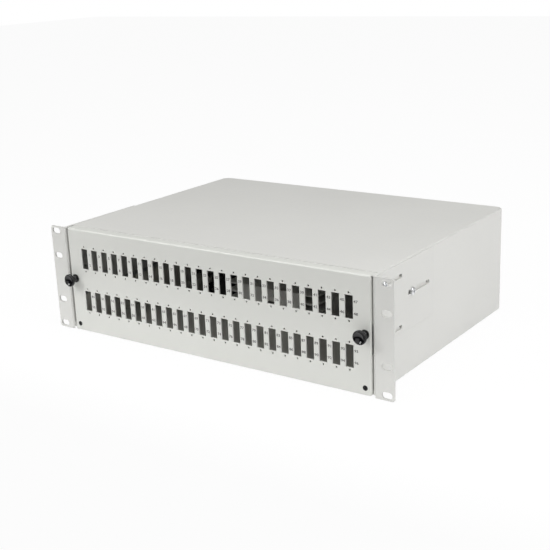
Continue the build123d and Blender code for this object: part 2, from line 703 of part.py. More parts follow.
def glides(stage, front):
    """The glides between one runner stage and the next, at the front or back."""
    low, high = runner_levels(stage)
    low += RUNNER_SHEET
    high -= RUNNER_SHEET
    if stage == 0:
        x1 = CASE_INNER - RUNNER_SHEET - MIDDLE_WEB_GAP
    else:
        x1 = TRAY_HALF + INNER_FLANGE
    x0 = x1 - GLIDE_WIDTH
    if front:
        y0 = RUNNER_FRONT + GLIDE_END
    else:
        y0 = RUNNER_BACK - GLIDE_END - GLIDE_LENGTH
    return glide_pair(x0, x1, y0, y0 + GLIDE_LENGTH, low, high, not front)


def runner_screws():
    """The screws that hold the inner runners, with heads inside the tray."""
    screws = []
    z = RUNNER_LOW + RUNNER_HEIGHT / 2
    wall = TRAY_HALF - SHEET
    for y in RUNNER_SCREW_Y:
        head = rod_x(y, z, wall - RUNNER_HEAD_THICK, wall, RUNNER_HEAD_R)
        rim = head.edges().group_by(Axis.X)[0]
        head = fillet(rim, RUNNER_HEAD_ROUND)
        shank = rod_x(y, z, wall, TRAY_HALF + 2 * RUNNER_SHEET, RUNNER_SCREW_R)
        screws += both_sides(head + shank)
    return screws


def cassette_outline(inset):
    """A rounded rectangle of the cassette's size, centred on the stack."""
    width = CASSETTE_WIDTH - 2 * inset
    length = CASSETTE_LENGTH - 2 * inset
    return Pos(0, MIDDLE_Y) * RectangleRounded(width, length, CASSETTE_CORNER - inset)


def cassette(index):
    """One splice cassette: plate, wall with open front corners, two drums."""
    base = TRAY_TOP + index * CASSETTE_PITCH
    plate_top = base + CASSETTE_PLATE
    wall_height = CASSETTE_PITCH - CASSETTE_PLATE
    plate = Pos(0, 0, base) * extrude(cassette_outline(0), CASSETTE_PLATE)
    ring = cassette_outline(0) - cassette_outline(CASSETTE_WALL)
    wall = Pos(0, 0, plate_top) * extrude(ring, wall_height)
    wall_top = base + CASSETTE_PITCH
    open_x = CASSETTE_HALF - CASSETTE_OPEN_WIDTH
    open_y = CASSETTE_FRONT + CASSETTE_OPEN_DEPTH
    corner = block(open_x, CASSETTE_HALF + 1, CASSETTE_FRONT - 1, open_y, plate_top - 1, wall_top + 1)
    body = plate + (wall - both_sides(corner))
    drum_height = wall_height - COMB_BASE
    for y in DRUM_Y:
        drum = Circle(DRUM_R) - Circle(DRUM_R - DRUM_WALL)
        body += Pos(0, CASSETTE_FRONT + y, plate_top) * extrude(drum, drum_height)
    half = CASSETTE_NOTCH_WIDTH / 2
    body -= block(
        -half, half, CASSETTE_FRONT - 1, CASSETTE_FRONT + 2 * CASSETTE_WALL,
        plate_top, plate_top + CASSETTE_NOTCH_HEIGHT,
    )
    half = CASSETTE_PORT_WIDTH / 2
    for x in (-CASSETTE_PORT_X, CASSETTE_PORT_X):
        body -= block(
            x - half, x + half, CASSETTE_BACK - 2 * CASSETTE_WALL, CASSETTE_BACK + 1, plate_top, wall_top + 1,
        )
    for y in STUD_Y:
        body -= rod_z(0, y, base - 1, plate_top + 1, STUD_HOLE_R)
    return body


def splice_comb(index):
    """The splice holder that lies between the two drums of a cassette."""
    base = TRAY_TOP + index * CASSETTE_PITCH + CASSETTE_PLATE
    width = COMB_SLOTS * COMB_PITCH + COMB_RIB
    y0 = MIDDLE_Y - COMB_LENGTH / 2
    y1 = MIDDLE_Y + COMB_LENGTH / 2
    comb = block(-width / 2, width / 2, y0, y1, base, base + COMB_BASE)
    for rib in range(COMB_SLOTS + 1):
        x = -width / 2 + rib * COMB_PITCH
        comb += block(x, x + COMB_RIB, y0, y1, base, base + COMB_HEIGHT)
    return comb


def cassette_lid():
    """The cover of the top cassette, with a snap tab over its front notch."""
    lid = Pos(0, 0, STACK_TOP) * extrude(cassette_outline(0), LID_THICK)
    half = LID_TAB_WIDTH / 2
    front = CASSETTE_FRONT - LID_TAB_REACH
    tab = block(-half, half, front, CASSETTE_FRONT, STACK_TOP - LID_TAB_DROP, STACK_TOP + LID_THICK)
    tab = fillet(tab.edges().filter_by(Axis.X).group_by(Axis.Y)[0], LID_TAB_ROUND)
    lid += tab
    for y in STUD_Y:
        lid -= rod_z(0, y, STACK_TOP - 1, STACK_TOP + LID_THICK + 1, STUD_HOLE_R)
    return lid


def cassette_studs():
    """The two studs that the cassettes are stacked on."""
    top = STACK_TOP + LID_THICK + STUD_REACH
    return [rod_z(0, y, TRAY_TOP, top, STUD_R) for y in STUD_Y]


def thumb_nuts():
    """The ribbed nuts that clamp the stack."""
    nuts = []
    low = STACK_TOP + LID_THICK
    for y in STUD_Y:
        nut = rod_z(0, y, low, low + THUMB_NUT_HEIGHT, THUMB_NUT_R)
        for step in range(THUMB_RIBS):
            angle = 2 * math.pi * step / THUMB_RIBS
            x = THUMB_NUT_R * math.cos(angle)
            rib_y = y + THUMB_NUT_R * math.sin(angle)
            nut -= rod_z(x, rib_y, low + THUMB_FOOT, low + THUMB_NUT_HEIGHT + 1, THUMB_RIB_R)
        nuts.append(nut - rod_z(0, y, low - 1, low + THUMB_NUT_HEIGHT + 1, STUD_R + HOLE_CLEARANCE))
    return nuts


def fibre_spool():
    """The right spool for spare fibre, with a base, a drum and four tabs."""
    drum = Circle(SPOOL_R) - Circle(SPOOL_R - SPOOL_WALL)
    body = extrude(drum, SPOOL_HEIGHT)
    base = Circle(SPOOL_R) - Circle(SPOOL_R - 5 * SPOOL_WALL)
    body += extrude(base, SPOOL_BASE)
    low = SPOOL_HEIGHT - SPOOL_BASE
    for angle in (45, 135, 225, 315):
        half = SPOOL_TAB_WIDTH / 2
        tab = block(SPOOL_R - SPOOL_WALL, SPOOL_R + SPOOL_TAB, -half, half, low, SPOOL_HEIGHT)
        body += Rot(0, 0, angle) * tab
    for angle in (0, 90, 180, 270):
        half = SPOOL_WINDOW / 2
        inside = SPOOL_R - 3 * SPOOL_WALL
        gap = block(inside, SPOOL_R + 1, -half, half, 2 * SPOOL_BASE, low - SPOOL_BASE)
        body -= Rot(0, 0, angle) * gap
    return Pos(SPOOL_X, SPOOL_Y, TRAY_TOP) * body


def cable_anchor():
    """The right strain relief: an angle with T-shaped fingers for cable ties."""
    x0 = GLAND_X - ANCHOR_WIDTH / 2
    x1 = GLAND_X + ANCHOR_WIDTH / 2
    body = block(x0, x1, ANCHOR_Y, ANCHOR_Y + ANCHOR_FOOT, TRAY_TOP, TRAY_TOP + SHEET)
    body += block(x0, x1, ANCHOR_Y, ANCHOR_Y + SHEET, TRAY_TOP, TRAY_TOP + ANCHOR_HEIGHT / 2)
    step = (ANCHOR_WIDTH - ANCHOR_HEAD) / (ANCHOR_TEETH - 1)
    top = TRAY_TOP + ANCHOR_HEIGHT
    for tooth in range(ANCHOR_TEETH):
        x = x0 + ANCHOR_HEAD / 2 + tooth * step
        half = ANCHOR_TOOTH / 2
        body += block(x - half, x + half, ANCHOR_Y, ANCHOR_Y + SHEET, TRAY_TOP, top)
        half = ANCHOR_HEAD / 2
        body += block(x - half, x + half, ANCHOR_Y, ANCHOR_Y + SHEET, top - ANCHOR_HEAD_HEIGHT, top)
    return body


def gland_body(x):
    """A gland body: hexagon outside the wall, barrel through it."""
    wall = CASE_BACK
    body = hex_y(x, ENTRY_Z, wall, wall + GLAND_FLANGE, GLAND_HEX)
    body += rod_y(x, ENTRY_Z, wall - SHEET - GLAND_INSIDE, wall, GLAND_BARREL_R)
    body += rod_y(x, ENTRY_Z, wall + GLAND_FLANGE, GLAND_BACK, GLAND_COLLAR_R)
    return body - rod_y(x, ENTRY_Z, wall - SHEET - GLAND_INSIDE - 1, GLAND_BACK + 1, GLAND_BORE_R)


def gland_nut(x):
    """The domed clamping nut of a gland."""
    y0 = CASE_BACK + GLAND_FLANGE + FIT_GAP
    y1 = y0 + DOME_LENGTH
    shoulder = y1 - DOME_ROUND
    nut = hex_y(x, ENTRY_Z, y0, shoulder, DOME_HEX)
    side = (DOME_HEX / 2 - FIT_GAP, shoulder + DOME_ROUND / 4)
    points = [(0, shoulder), (DOME_HEX / 2, shoulder), side, (DOME_RIM_R, y1), (0, y1)]
    nut += Pos(x, 0, ENTRY_Z) * turned_y(points)
    nut -= rod_y(x, ENTRY_Z, y0 - 1, GLAND_BACK + FIT_GAP, GLAND_COLLAR_R + FIT_GAP)
    return nut - rod_y(x, ENTRY_Z, y0 - 1, y1 + 1, DOME_BORE_R)


def gland_seal(x):
    """The rubber ring that grips the cable inside a gland."""
    y0 = CASE_BACK + GLAND_FLANGE / 2
    ring = rod_y(x, ENTRY_Z, y0, GLAND_BACK, SEAL_R)
    return ring - rod_y(x, ENTRY_Z, y0 - 1, GLAND_BACK + 1, SEAL_BORE_R)


def gland_locknut(x):
    """The thin nut inside the back wall."""
    y1 = CASE_BACK_INNER
    nut = hex_y(x, ENTRY_Z, y1 - LOCKNUT_THICK, y1, GLAND_HEX)
    return nut - rod_y(x, ENTRY_Z, y1 - LOCKNUT_THICK - 1, y1 + 1, GLAND_BARREL_R + FIT_GAP)


def blanking_plug(x):
    """A plug for an unused cable entry."""
    points = [
        (0, CASE_BACK),
        (PLUG_HEAD_R, CASE_BACK),
        (PLUG_HEAD_R - PLUG_HEAD / 3, CASE_BACK + PLUG_HEAD),
        (0, CASE_BACK + PLUG_HEAD),
    ]
    plug = turned_y(points)
    inner = CASE_BACK_INNER - PLUG_DEPTH
    plug += rod_y(0, 0, inner, CASE_BACK, ENTRY_R - FIT_GAP)
    plug -= rod_y(0, 0, inner - 1, CASE_BACK, ENTRY_R - FIT_GAP - PLUG_WALL)
    return Pos(x, 0, ENTRY_Z) * plug


def earth_stud():
    """The earthing stud, with its head inside the wall and a groove at its nut."""
    head = rod_y(EARTH_X, EARTH_Z, CASE_BACK_INNER - EARTH_HEAD, CASE_BACK_INNER, 2 * EARTH_R)
    stud = head + rod_y(EARTH_X, EARTH_Z, CASE_BACK_INNER - 1, CASE_BACK + EARTH_LENGTH, EARTH_R)
    groove_back = EARTH_NUT_BACK + EARTH_GROOVE
    groove = rod_y(EARTH_X, EARTH_Z, EARTH_NUT_BACK, groove_back, EARTH_R + 1)
    groove -= rod_y(EARTH_X, EARTH_Z, EARTH_NUT_BACK - 1, groove_back + 1, EARTH_R - EARTH_GROOVE_DEPTH)
    return stud - groove


def earth_nut():
    """The nut and washer on the earthing stud."""
    y0 = CASE_BACK + EARTH_WASHER
    bore = rod_y(EARTH_X, EARTH_Z, CASE_BACK - 1, CASE_BACK + EARTH_LENGTH, EARTH_R + HOLE_CLEARANCE)
    washer = rod_y(EARTH_X, EARTH_Z, CASE_BACK, y0, EARTH_WASHER_R)
    nut = hex_y(EARTH_X, EARTH_Z, y0, EARTH_NUT_BACK, EARTH_NUT)
    return [washer - bore, nut - bore]


def write(name, pieces):
    """Write one node, moved so that the origin is the rack-hole centre."""
    if isinstance(pieces, (list, tuple)):
        pieces = Compound(children=list(pieces))
    export_step(pieces.moved(Location((0, 0, -EAR_HEIGHT / 2))), f"parts/{name}.step")


def write_all():
    """Build and write every node."""
    os.makedirs("parts", exist_ok=True)
    write("case_shell", case_shell())
    write("base_plate", base_plate())
    right_ear = ear()
    write("ear_right", right_ear)
    write("ear_left", mirrored(right_ear))
    screws, nuts = ear_fixings()
    write("ear_screws", screws)
    write("ear_nuts", nuts)
    write("latch_keeper_right", keeper(LATCH_X + FRONT_SHIFT))
    write("latch_keeper_left", mirrored(keeper(LATCH_X - FRONT_SHIFT)))
    runners = {"outer": runner_outer(), "middle": runner_middle(), "inner": runner_inner()}
    for name, piece in runners.items():
        write(f"runner_{name}_right", piece)
        write(f"runner_{name}_left", mirrored(piece))
    front_glides = glides(0, True)
    write("glides_case", front_glides + [mirrored(g) for g in front_glides])
    middle_glides = glides(0, False) + glides(1, True)
    write("glides_middle_right", middle_glides)
    write("glides_middle_left", [mirrored(g) for g in middle_glides])
    rear_glides = glides(1, False)
    write("glides_drawer", rear_glides + [mirrored(g) for g in rear_glides])
    write("front_panel", front_panel())
    write("panel_screws", panel_screws())
    write("panel_nuts", panel_nuts())
    write("drawer_tray", tray())
    write("runner_screws", runner_screws())
    for side, name in ((-1, "left"), (1, "right")):
        write(f"latch_grommet_{name}", grommet(side))
        write(f"latch_plunger_{name}", plunger(side))
    for index in range(CASSETTES):
        write(f"splice_cassette_{index + 1}", cassette(index))
        write(f"splice_comb_{index + 1}", splice_comb(index))
    write("cassette_lid", cassette_lid())
    write("cassette_studs", cassette_studs())
    write("thumb_nuts", thumb_nuts())
    spool = fibre_spool()
    write("fibre_spool_right", spool)
    write("fibre_spool_left", mirrored(spool))
    anchor = cable_anchor()
    write("cable_anchor_right", anchor)
    write("cable_anchor_left", mirrored(anchor))
    for name, x in (("right", GLAND_X), ("left", -GLAND_X)):
        write(f"gland_body_{name}", gland_body(x))
        write(f"gland_nut_{name}", gland_nut(x))
        write(f"gland_seal_{name}", gland_seal(x))
    write("gland_locknuts", [gland_locknut(-GLAND_X), gland_locknut(GLAND_X)])
    write("blanking_plugs", [blanking_plug(-PLUG_X), blanking_plug(PLUG_X)])
    write("earth_stud", earth_stud())
    write("earth_nut", earth_nut())


write_all()
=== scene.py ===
# %% [markdown]
# Dressing a sliding drawer fibre patch panel
#
# The real thing is a folded steel case for a 19-inch rack, powder coated in a
# warm pale grey. Its front is the face of a drawer, punched with two rows of
# windows for fibre adapters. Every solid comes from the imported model, in
# metres, and isn't moved here. What this script adds is what comes after the
# folding: paint, plating, printed port numbers and the earthing stud's thread.

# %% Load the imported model
import json
import math

import bmesh
import bpy
from mathutils import Matrix, Vector


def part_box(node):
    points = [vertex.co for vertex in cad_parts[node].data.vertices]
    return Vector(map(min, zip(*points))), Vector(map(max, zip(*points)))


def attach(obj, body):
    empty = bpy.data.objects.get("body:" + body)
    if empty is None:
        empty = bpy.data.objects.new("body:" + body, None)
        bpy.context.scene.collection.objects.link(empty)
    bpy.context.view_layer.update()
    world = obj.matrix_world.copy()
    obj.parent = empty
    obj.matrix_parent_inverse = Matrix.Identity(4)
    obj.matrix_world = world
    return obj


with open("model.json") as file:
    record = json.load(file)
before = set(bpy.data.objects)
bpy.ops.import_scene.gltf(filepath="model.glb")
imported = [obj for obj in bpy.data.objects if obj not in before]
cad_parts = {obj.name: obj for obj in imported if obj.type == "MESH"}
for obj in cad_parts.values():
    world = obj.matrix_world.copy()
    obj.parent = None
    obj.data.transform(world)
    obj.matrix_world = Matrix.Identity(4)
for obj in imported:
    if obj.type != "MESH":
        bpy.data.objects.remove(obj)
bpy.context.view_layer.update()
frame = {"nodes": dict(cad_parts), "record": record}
nodes = frame["nodes"]
print("nodes", len(nodes))

# %% [markdown]
# Where things are
#
# A size or a place that the model already has is read from it, never typed
# again, so that this script still fits if the model changes. An ear's box gives
# the level of the bench and the front sheet's box the face that the numbers are
# printed on. The record's mounts give the centre of each adapter window and the
# radius of the earthing stud.

# %% Places read from the model
MM = 0.001
bench_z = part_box("ear_right")[0].z
face_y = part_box("front_panel")[0].y
mounts = {mount["name"]: mount for mount in frame["record"]["mounts"]}
window_centres = [mount["pos_m"] for name, mount in mounts.items() if name.startswith("adapter_")]
window_centres.sort(key=lambda centre: (-centre[2], centre[0]))
stud_radius = mounts["earth_stud"]["dims"]["r_mm"] * MM
print("front face at y", round(face_y, 5), "bench at z", round(bench_z, 5))
print("windows", len(window_centres), "stud radius", stud_radius)

# %% [markdown]
# A small kit for building materials
#
# A shader is a graph of nodes. Writing every link by hand hides what the graph
# does, so one helper makes a node with its sockets set and linked, and the
# others are the few things that the finishes below are built from.

# %% Nodes and trees
def add_node(tree, kind, links=None, values=None, **properties):
    """A node of a kind, with its properties and sockets set, and linked."""
    node = tree.nodes.new(kind)
    for name, value in properties.items():
        setattr(node, name, value)
    for socket, value in (values or {}).items():
        node.inputs[socket].default_value = value
    for socket, source in (links or {}).items():
        tree.links.new(source, node.inputs[socket])
    return node


def empty_tree(owner):
    """The node tree of a new material or world, cleared of what it came with."""
    owner.use_nodes = True
    owner.node_tree.nodes.clear()
    return owner.node_tree


def new_material(name):
    """A material with a Principled shader alone, its tree and that shader."""
    material = bpy.data.materials.new(name)
    tree = empty_tree(material)
    shader = add_node(tree, "ShaderNodeBsdfPrincipled")
    add_node(tree, "ShaderNodeOutputMaterial", {"Surface": shader.outputs["BSDF"]})
    return material, tree, shader


# %% [markdown]
# All the patterns read object coordinates. These are in metres, so a noise
# scale of 1000 has lumps about a millimetre across. Noise seldom leaves the
# middle of its range, and that middle is what a pattern is stretched from.

# %% Patterns
NOISE_DETAIL = 3.0
NOISE_ROUGHNESS = 0.55
NOISE_MIDDLE = (0.3, 0.7)


def noise(tree, scale, detail=NOISE_DETAIL):
    """A noise pattern on object coordinates."""
    place = add_node(tree, "ShaderNodeTexCoord")
    grain = {"Scale": scale, "Detail": detail, "Roughness": NOISE_ROUGHNESS}
    pattern = add_node(tree, "ShaderNodeTexNoise", {"Vector": place.outputs["Object"]}, grain)
    return pattern.outputs["Fac"]


def remap(tree, value, low, high, source=NOISE_MIDDLE):
    """A value stretched from its source range to run from low to high."""
    ends = {"From Min": source[0], "From Max": source[1], "To Min": low, "To Max": high}
    return add_node(tree, "ShaderNodeMapRange", {"Value": value}, ends).outputs["Result"]


def blend_colours(tree, factor, first, second):
    """One colour fading into another by a pattern."""
    colours = {"A": (*first, 1.0), "B": (*second, 1.0)}
    mixed = add_node(tree, "ShaderNodeMix", {"Factor": factor}, colours, data_type="RGBA")
    return mixed.outputs["Result"]


def shade(colour, factor):
    """A colour made lighter or darker."""
    return tuple(min(1.0, channel * factor) for channel in colour)


# %% [markdown]
# No real finish is even. Its colour drifts a little, its gloss comes and goes,
# and it has some relief. Its edges are never razor sharp either. Relief this
# small would take millions of faces, so it is a bump in the shading, and the
# Bevel node rounds the shading of a sharp edge without touching the mesh.

# %% Uneven finishes
BEVEL_SAMPLES = 4


def drift_colour(tree, shader, colour, pattern, darkest, palest):
    """Let a colour drift between a darker and a paler shade of itself."""
    clouds = remap(tree, pattern, 0.0, 1.0)
    tint = blend_colours(tree, clouds, shade(colour, darkest), shade(colour, palest))
    tree.links.new(tint, shader.inputs["Base Color"])


def drift_gloss(tree, shader, pattern, smoothest, roughest):
    """Let the roughness drift between two values."""
    tree.links.new(remap(tree, pattern, smoothest, roughest), shader.inputs["Roughness"])


def add_relief(tree, shader, pattern, strength, depth, edge=0.0):
    """Raise a pattern in the shading, and round sharp edges where a radius is given."""
    bump = add_node(tree, "ShaderNodeBump", {"Height": pattern}, {"Strength": strength, "Distance": depth})
    if edge:
        rounded = add_node(tree, "ShaderNodeBevel", values={"Radius": edge}, samples=BEVEL_SAMPLES)
        tree.links.new(rounded.outputs["Normal"], bump.inputs["Normal"])
    tree.links.new(bump.outputs["Normal"], shader.inputs["Normal"])


# %% [markdown]
# Powder coat
#
# Powder is sprayed on dry and melts in an oven into a tough skin with a very
# fine orange peel. Three things sell it: lumps about a millimetre across that
# break up the highlight, a faint cloudiness where the film is thicker, and
# soft edges. An even colour with one roughness would look like bare plastic.
# All the sheets are coated with one powder, so their greys are nearly the same. The ears' grey is the
# case's made a little darker, as painted shade for their front faces, which get less light.

# %% Powder coat
FILM_SCALE = 9.0
FILM_DETAIL = 4.0
FILM_DARKEST = 0.985
FILM_PALEST = 1.012
COAT_GLOSS_SCALE = 260.0
COAT_SMOOTHEST = 0.36
COAT_ROUGHEST = 0.46
PEEL_SCALE = 950.0
PEEL_DETAIL = 2.0
PEEL_STRENGTH = 0.10
PEEL_DEPTH = 0.3 * MM
COAT_EDGE = 0.5 * MM
EAR_EDGE = 0.3 * MM


def powder_coat(name, colour, edge=COAT_EDGE):
    """Melted powder paint: fine orange peel, cloudy film and soft edges."""
    material, tree, shader = new_material(name)
    drift_colour(tree, shader, colour, noise(tree, FILM_SCALE, FILM_DETAIL), FILM_DARKEST, FILM_PALEST)
    drift_gloss(tree, shader, noise(tree, COAT_GLOSS_SCALE), COAT_SMOOTHEST, COAT_ROUGHEST)
    add_relief(tree, shader, noise(tree, PEEL_SCALE, PEEL_DETAIL), PEEL_STRENGTH, PEEL_DEPTH, edge)
    return material


# %% Paints
CASE_GREY = (0.664, 0.663, 0.638)
PANEL_GREY = (0.652, 0.657, 0.624)
TRAY_GREY = (0.640, 0.632, 0.585)
# The ears' coat is the case grey darkened by this factor: painted shade for the ears' less lit front faces.
EAR_PAINTED_SHADE = 0.985

paints = {
    "case_paint": powder_coat("case_powder_coat", CASE_GREY),
    "ear_paint": powder_coat("ear_powder_coat", shade(CASE_GREY, EAR_PAINTED_SHADE), EAR_EDGE),
    "panel_paint": powder_coat("panel_powder_coat", PANEL_GREY),
    "tray_paint": powder_coat("tray_powder_coat", TRAY_GREY),
}
print("powder coats", len(paints))

# %% [markdown]
# Zinc plate and bare metals
#
# Screws, nuts and runners are steel with a few microns of zinc. Zinc is a
# fairly bright metal with a cloudy, slightly blue passivation, and drawn or
# rolled steel keeps faint lines along its length. A noise whose length is
# squeezed in the pattern's coordinates does the lines: its lumps become
# streaks along Y, which is the way the runners lie.

# %% Plated and bare metal
PLATING_SCALE = 120.0
PLATING_DETAIL = 4.0
PLATING_DARKEST = 0.86
PLATING_PALEST = 1.06
STREAK_SCALE = 600.0
STREAK_DETAIL = 4.0
STREAK_SMOOTHEST = 0.8
STREAK_ROUGHEST = 1.25
STREAK_DEPTH = 0.2 * MM


def streaky_metal(name, colour, rough, squeeze=1.0, relief=0.04):
    """Plated or bare metal, with streaks along Y where it is squeezed."""
    material, tree, shader = new_material(name)
    shader.inputs["Metallic"].default_value = 1.0
    place = add_node(tree, "ShaderNodeTexCoord")
    along_y = {"Scale": (1.0, squeeze, 1.0)}
    squeezed = add_node(tree, "ShaderNodeMapping", {"Vector": place.outputs["Object"]}, along_y)
    fine = {"Scale": STREAK_SCALE, "Detail": STREAK_DETAIL}
    texture = add_node(tree, "ShaderNodeTexNoise", {"Vector": squeezed.outputs["Vector"]}, fine)
    streaks = texture.outputs["Fac"]
    clouds = noise(tree, PLATING_SCALE, PLATING_DETAIL)
    drift_colour(tree, shader, colour, clouds, PLATING_DARKEST, PLATING_PALEST)
    drift_gloss(tree, shader, streaks, rough * STREAK_SMOOTHEST, rough * STREAK_ROUGHEST)
    add_relief(tree, shader, streaks, relief, STREAK_DEPTH)
    return material


# %% Metals
metals = {
    "zinc_plate": streaky_metal("zinc_plate", (0.66, 0.67, 0.68), rough=0.34),
    "runner_steel": streaky_metal("runner_zinc", (0.58, 0.60, 0.62), rough=0.38, squeeze=0.05, relief=0.06),
    "stud_brass": streaky_metal("stud_brass", (0.74, 0.56, 0.26), rough=0.30, squeeze=0.2),
    "black_screw": streaky_metal("black_oxide", (0.035, 0.035, 0.036), rough=0.42),
}
print("metals", len(metals))

# %% [markdown]
# Plastics and rubber
#
# Moulded plastic takes the texture of its mould: the latch knobs come from a
# polished one and are glossy, and the glands, cassettes and spools come from a
# spark-eroded one, which leaves a fine even grain. One recipe serves them all,
# because only its numbers differ. The rubber is the dullest of them and has the
# coarsest grain.

# %% Moulded plastic
MOULD_SCALE = 60.0
MOULD_DARKEST = 0.95
MOULD_PALEST = 1.04
GRAIN_SCALE = 1500.0
GRAIN_DETAIL = 2.0
GRAIN_DEPTH = 0.1 * MM
GRAINS_PER_PATCH = 4
PATCH_SMOOTHEST = 0.88
PATCH_ROUGHEST = 1.14
MOULD_EDGE = 0.3 * MM


def moulded(name, colour, rough, grain=0.10, scale=GRAIN_SCALE, mirror=0.5):
    """Injection-moulded plastic with the grain of its mould."""
    material, tree, shader = new_material(name)
    shader.inputs["Specular IOR Level"].default_value = mirror
    patches = noise(tree, scale / GRAINS_PER_PATCH)
    drift_colour(tree, shader, colour, noise(tree, MOULD_SCALE), MOULD_DARKEST, MOULD_PALEST)
    drift_gloss(tree, shader, patches, rough * PATCH_SMOOTHEST, rough * PATCH_ROUGHEST)
    add_relief(tree, shader, noise(tree, scale, GRAIN_DETAIL), grain, GRAIN_DEPTH, MOULD_EDGE)
    return material


# %% Plastics
plastics = {
    "knob_plastic": moulded("knob_gloss_black", (0.004, 0.004, 0.005), rough=0.07, grain=0.01),
    "grommet_plastic": moulded("grommet_black", (0.004, 0.004, 0.004), rough=0.12, grain=0.02, mirror=0.25),
    "glide_nylon": moulded("glide_nylon", (0.74, 0.72, 0.66), rough=0.45),
    "cassette_plastic": moulded("cassette_grey", (0.80, 0.80, 0.77), rough=0.42),
    "lid_plastic": moulded("lid_grey", (0.78, 0.78, 0.75), rough=0.36),
    "comb_plastic": moulded("comb_white", (0.74, 0.74, 0.72), rough=0.45),
    "spool_plastic": moulded("spool_black", (0.022, 0.022, 0.023), rough=0.46, grain=0.16),
    "nut_plastic": moulded("thumb_nut_black", (0.016, 0.016, 0.016), rough=0.40, grain=0.12),
    "gland_plastic": moulded("gland_grey", (0.36, 0.37, 0.38), rough=0.44, grain=0.16),
    "seal_rubber": moulded("seal_rubber", (0.018, 0.018, 0.018), rough=0.68, grain=0.25, scale=800.0),
}
print("plastics", len(plastics))

# %% [markdown]
# Painting the solids
#
# Each solid came with a material slot, and the record says which finish it
# takes. The finishes above are filed under the record's names, so one loop
# paints the whole model, and no mesh is touched.

# %% Paint every node
finishes = {**paints, **metals, **plastics}
slot_of = {part["node"]: part["material_slot"] for part in frame["record"]["subparts"]}
for name, node in nodes.items():
    for slot in node.material_slots:
        slot.material = finishes[slot_of[name]]
print("painted", len(slot_of), "nodes with", len(finishes), "finishes")

# %% [markdown]
# Helpers for new pieces
#
# New pieces are meshes at the origin, as the solids are. A piece is given its
# finish and the body that carries it in one call, so neither is forgotten.

# %% Piece helpers
def add_object(name, data):
    """An object with its data, in the scene."""
    thing = bpy.data.objects.new(name, data)
    bpy.context.scene.collection.objects.link(thing)
    return thing


def mesh_from(name, form):
    """Turn a bmesh into a mesh and free it."""
    mesh = bpy.data.meshes.new(name)
    form.to_mesh(mesh)
    form.free()
    return mesh


def finish_piece(name, form, material, body):
    """Make a form a flat-shaded piece of the model, painted, and riding on a body."""
    mesh = mesh_from(name, form)
    mesh.shade_flat()
    mesh.materials.append(material)
    piece = add_object(name, mesh)
    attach(piece, body)
    return piece


# %% [markdown]
# Port numbers
#
# Each window is a duplex port, so two numbers stand to its right, the odd one
# level with the upper fibre and the even one below. The count runs along the
# upper row first.

# %% Number places
NUMBER_RIGHT_OF_WINDOW = 8.2 * MM
NUMBER_FROM_MIDDLE = 6.6 * MM


def number_places():
    """Each port number with its centre on the front face."""
    places = []
    for window, (x, _, z) in enumerate(window_centres):
        for step, side in enumerate((1, -1)):
            centre = (x + NUMBER_RIGHT_OF_WINDOW, face_y, z + side * NUMBER_FROM_MIDDLE)
            places.append((2 * window + 1 + step, centre))
    return places


print("port numbers", len(number_places()))

# %% [markdown]
# The numbers are screen printed, and the ink dries to a film that stands a few
# hundredths of a millimetre proud. A picture on the sheet would need a grid of
# pixels finer than the figures' strokes, so real text is used: it is thickened
# and made a closed mesh, set on its own middle, widened, and stood upright in
# the face of the front. Its back half is in the sheet, so the ink has no gap
# behind it. The typeface is Blender's own plain one, whose figures are about
# 0.7 of the text's size high.

# %% Figures of ink
NUMBER_HEIGHT = 2.9 * MM
NUMBER_WIDENING = 1.22
FIGURE_SHARE_OF_SIZE = 0.70
FIGURE_CURVE_STEPS = 2
INK_THICKNESS = 0.03 * MM
INK_SPREAD = 0.07 * MM


def number_mesh(number):
    """A number as a thick mesh, lying flat."""
    text = bpy.data.curves.new("number", "FONT")
    text.body = str(number)
    text.size = NUMBER_HEIGHT / FIGURE_SHARE_OF_SIZE
    text.resolution_u = FIGURE_CURVE_STEPS
    text.offset = INK_SPREAD
    text.extrude = INK_THICKNESS
    writer = add_object("number", text)
    bpy.context.view_layer.update()
    graph = bpy.context.evaluated_depsgraph_get()
    mesh = bpy.data.meshes.new_from_object(writer.evaluated_get(graph))
    bpy.data.objects.remove(writer)
    bpy.data.curves.remove(text)
    return mesh


def number_form(number, centre):
    """A number upright in the front's face, with its middle at a place."""
    mesh = number_mesh(number)
    form = bmesh.new()
    form.from_mesh(mesh)
    bpy.data.meshes.remove(mesh)
    xs = [vertex.co.x for vertex in form.verts]
    ys = [vertex.co.y for vertex in form.verts]
    middle = Vector(((min(xs) + max(xs)) / 2, (min(ys) + max(ys)) / 2, 0))
    bmesh.ops.translate(form, vec=-middle, verts=form.verts)
    bmesh.ops.scale(form, vec=(NUMBER_WIDENING, 1, 1), verts=form.verts)
    upright = Matrix.Rotation(math.pi / 2, 4, "X")
    bmesh.ops.transform(form, matrix=Matrix.Translation(centre) @ upright, verts=form.verts)
    return form


# %% Ink
INK_BLACK = (0.030, 0.030, 0.032)
INK_SCALE = 1400.0
INK_DETAIL = 4.0
INK_DARKEST = 0.8
INK_PALEST = 1.5
INK_GLOSS_SCALE = 900.0
INK_SMOOTHEST = 0.50
INK_ROUGHEST = 0.62


def printed_ink(name, colour):
    """Screen-printing ink, patchy as the mesh of the screen leaves it."""
    material, tree, shader = new_material(name)
    drift_colour(tree, shader, colour, noise(tree, INK_SCALE, INK_DETAIL), INK_DARKEST, INK_PALEST)
    drift_gloss(tree, shader, noise(tree, INK_GLOSS_SCALE), INK_SMOOTHEST, INK_ROUGHEST)
    return material


# %% Print the numbers
SAME_POINT = 0.0001 * MM


def print_numbers():
    """All the port numbers as one form."""
    sheet = bmesh.new()
    for number, centre in number_places():
        loose = mesh_from("loose", number_form(number, centre))
        sheet.from_mesh(loose)
        bpy.data.meshes.remove(loose)
    bmesh.ops.remove_doubles(sheet, verts=sheet.verts, dist=SAME_POINT)
    return sheet


